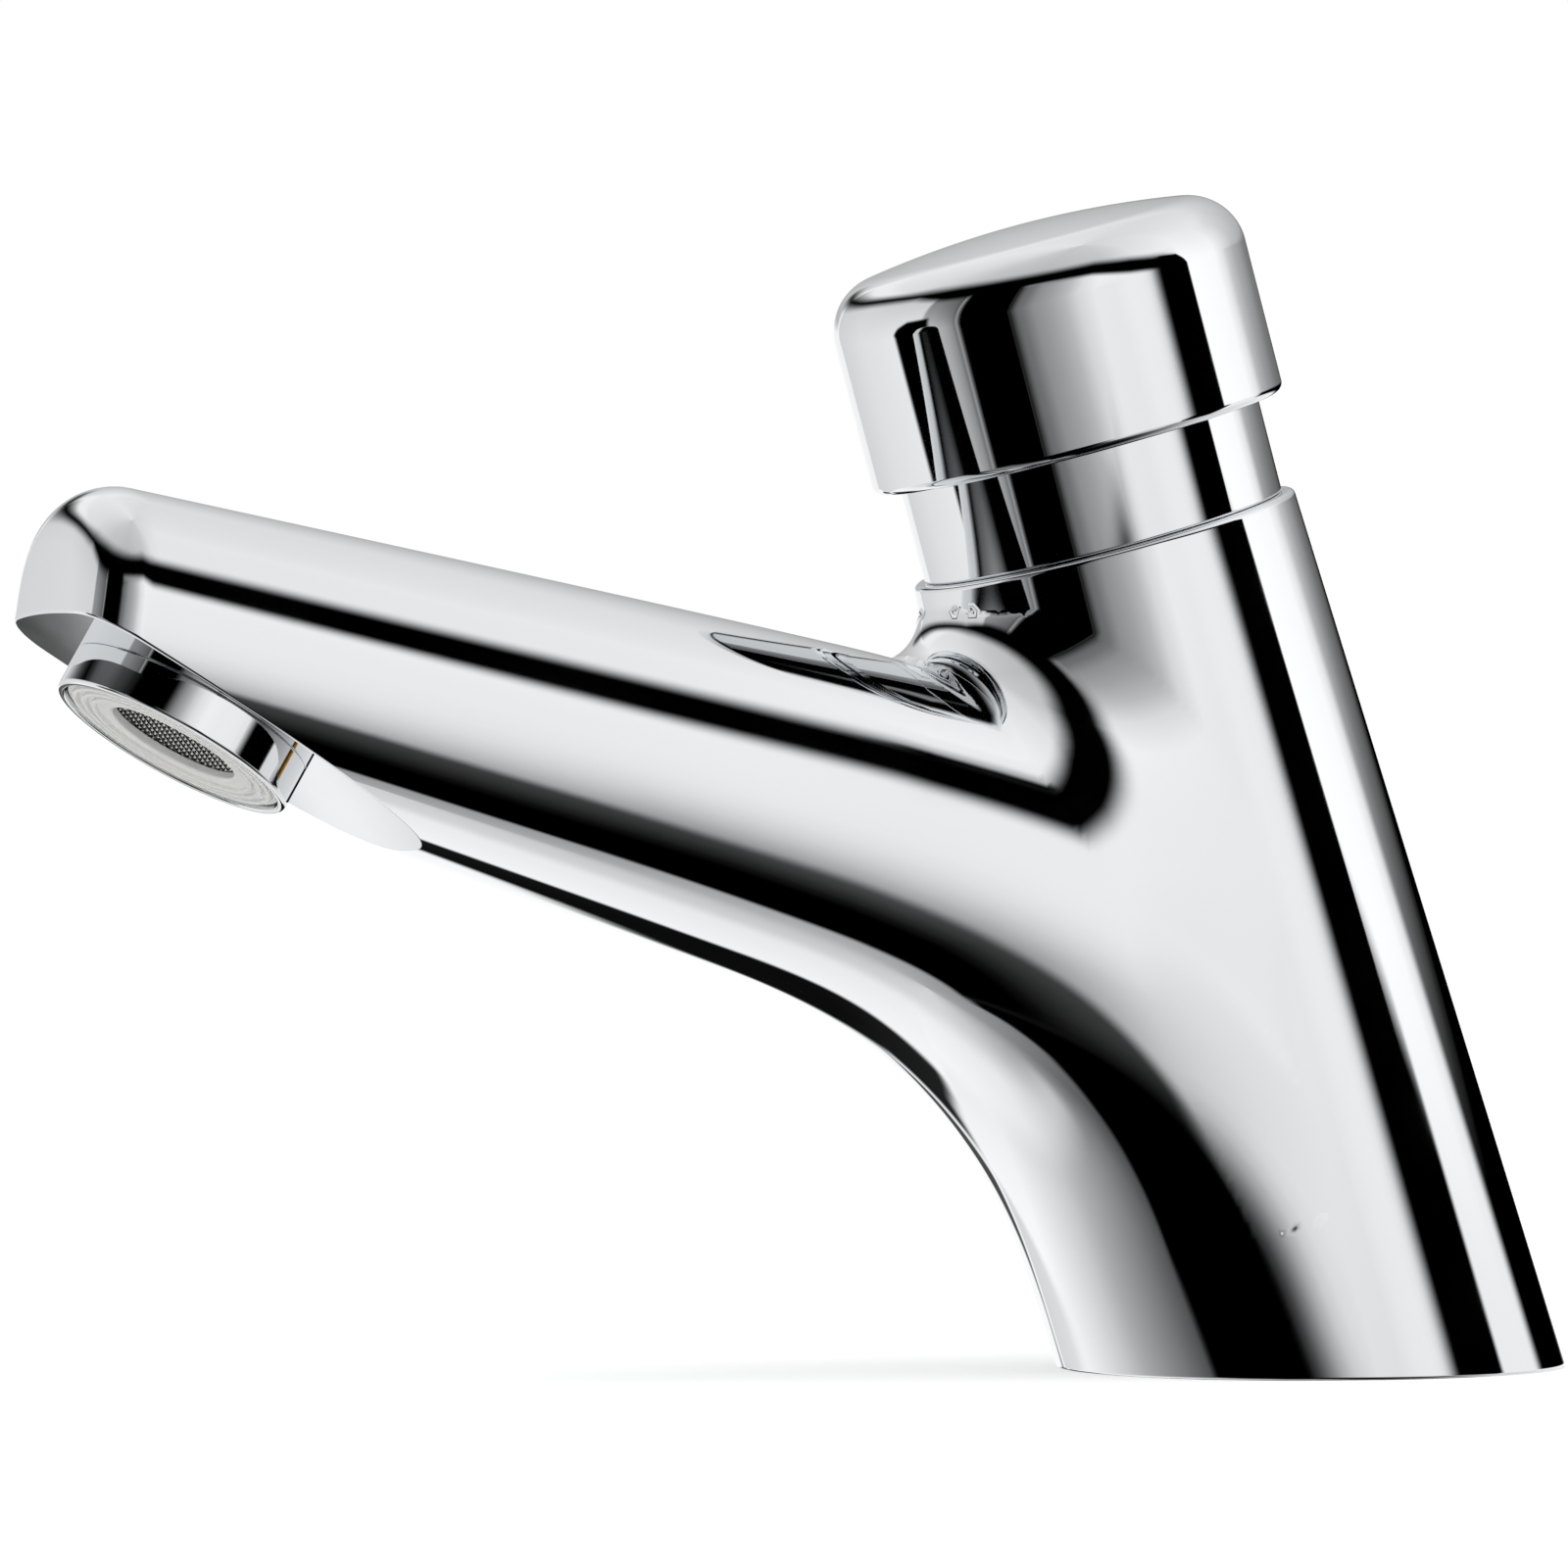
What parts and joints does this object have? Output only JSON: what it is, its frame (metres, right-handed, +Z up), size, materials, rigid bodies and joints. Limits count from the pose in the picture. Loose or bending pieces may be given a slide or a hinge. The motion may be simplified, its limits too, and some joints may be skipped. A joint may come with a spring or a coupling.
{
  "type": "push timed tap",
  "caption": "Deck-mounted push timed tap: leaning tapered column, straight spout to an aerator, domed button that slides down and returns, threaded tail with backnut.",
  "frame": {"origin": "on the deck plane, where the vertical axis of the threaded tail meets the flat foot of the body", "axes": "+Z up out of the deck, -Y along the spout towards its outlet, +X to the right of someone who faces +Y"},
  "size_m": [0.0474, 0.1647, 0.1612],
  "materials": {
    "chrome_plate": "mirror polished chrome plate on brass",
    "outlet_plastic": "moulded off-white acetal",
    "sleeve_plastic": "moulded natural acetal",
    "piston_plastic": "moulded black acetal",
    "limiter_plastic": "moulded green acetal",
    "stainless_steel": "turned stainless steel",
    "steel_wire": "drawn stainless wire",
    "zinc_steel": "zinc plated steel",
    "raw_brass": "turned brass",
    "seal_rubber": "black nitrile rubber",
    "fibre": "pressed red fibre"
  },
  "bodies": {
    "body": {"tap_body": "chrome_plate", "collar_ring": "chrome_plate", "aerator_housing": "chrome_plate", "aerator_insert": "outlet_plastic", "aerator_mesh": "stainless_steel", "flow_limiter": "limiter_plastic", "aerator_washer": "seal_rubber", "bonnet": "raw_brass", "bonnet_seal": "fibre", "stem_seal": "seal_rubber", "return_spring": "steel_wire", "cartridge_sleeve": "sleeve_plastic", "sleeve_seals": "seal_rubber", "valve_seat": "stainless_steel", "threaded_tail": "raw_brass", "tail_seal": "fibre", "inlet_strainer": "stainless_steel", "foot_seal": "seal_rubber", "rubber_washer": "seal_rubber", "steel_washer": "zinc_steel", "backnut": "raw_brass"},
    "button": {"push_button": "chrome_plate", "button_carrier": "raw_brass", "button_nut": "stainless_steel", "stem": "stainless_steel", "timing_piston": "piston_plastic", "piston_lip_seal": "seal_rubber", "piston_clip": "steel_wire", "bleed_screw": "raw_brass", "valve_holder": "raw_brass", "valve_washer": "seal_rubber", "valve_screw": "stainless_steel"}
  },
  "joints": [
    {"name": "button_push", "type": "slide", "parent": "body", "child": "button", "axis": [0, 0.284, -0.9588], "range_m": [0, 0.007], "stiffness_N_per_m": 1000, "springref_m": -0.01, "deforming": ["return_spring"]}
  ]
}
